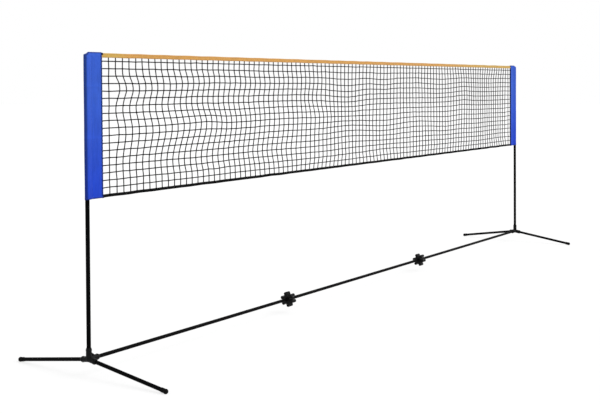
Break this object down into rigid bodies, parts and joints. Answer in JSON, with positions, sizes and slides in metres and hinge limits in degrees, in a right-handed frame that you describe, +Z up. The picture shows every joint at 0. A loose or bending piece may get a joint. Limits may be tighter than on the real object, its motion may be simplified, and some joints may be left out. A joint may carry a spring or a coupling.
{
  "type": "volleyball net on poles",
  "caption": "Free-standing net on telescoping poles, with fabric pole sleeves, droop-footed hubs and a plug-together crossbar with star connectors.",
  "frame": {"origin": "on the floor, midway between the two poles and in the net's plane", "axes": "+X along the net from the left pole to the right pole, +Y to the rear feet, +Z up"},
  "size_m": [5.1354, 1.0044, 1.55],
  "materials": {
    "coated_steel": "satin",
    "moulded_black": "matte",
    "star_black": "satin",
    "foot_rubber": "matte",
    "inner_plastic": "satin",
    "ring_plastic": "satin",
    "blue_fabric": "matte",
    "net_twine": "matte",
    "orange_tape": "matte",
    "black_hem": "matte",
    "white_cord": "matte"
  },
  "bodies": {
    "base_frame": {"left_hub": "moulded_black", "right_hub": "moulded_black", "left_rear_foot": "coated_steel", "left_front_foot": "coated_steel", "right_rear_foot": "coated_steel", "right_front_foot": "coated_steel", "left_rear_foot_cap": "foot_rubber", "left_front_foot_cap": "foot_rubber", "right_rear_foot_cap": "foot_rubber", "right_front_foot_cap": "foot_rubber", "left_bar_outer": "coated_steel", "left_bar_inner": "coated_steel", "middle_bar_left": "coated_steel", "middle_bar_right": "coated_steel", "right_bar_inner": "coated_steel", "right_bar_outer": "coated_steel", "left_star": "star_black", "right_star": "star_black", "left_lower_pole": "coated_steel", "right_lower_pole": "coated_steel", "left_pole_bush": "inner_plastic", "right_pole_bush": "inner_plastic"},
    "net_carriage": {"netting": "net_twine", "top_tape": "orange_tape", "head_cord": "white_cord", "bottom_hem": "black_hem", "foot_cord": "white_cord", "left_sleeve": "blue_fabric", "right_sleeve": "blue_fabric", "left_lock_ring": "ring_plastic", "right_lock_ring": "ring_plastic"},
    "left_pole_top": {"left_upper_pole": "coated_steel", "left_pole_cap": "inner_plastic", "left_lock_plug": "inner_plastic"},
    "right_pole_top": {"right_upper_pole": "coated_steel", "right_pole_cap": "inner_plastic", "right_lock_plug": "inner_plastic"}
  },
  "joints": [
    {"name": "net_height", "type": "slide", "parent": "base_frame", "child": "net_carriage", "axis": [0, 0, -1], "range_m": [0, 0.6]},
    {"name": "left_pole_twist", "type": "hinge", "parent": "net_carriage", "child": "left_pole_top", "pos_m": [-2.5525, 0, 1], "axis": [0, 0, 1], "range_deg": [-90, 90]},
    {"name": "right_pole_twist", "type": "hinge", "parent": "net_carriage", "child": "right_pole_top", "pos_m": [2.5525, 0, 1], "axis": [0, 0, 1], "range_deg": [-90, 90]}
  ]
}
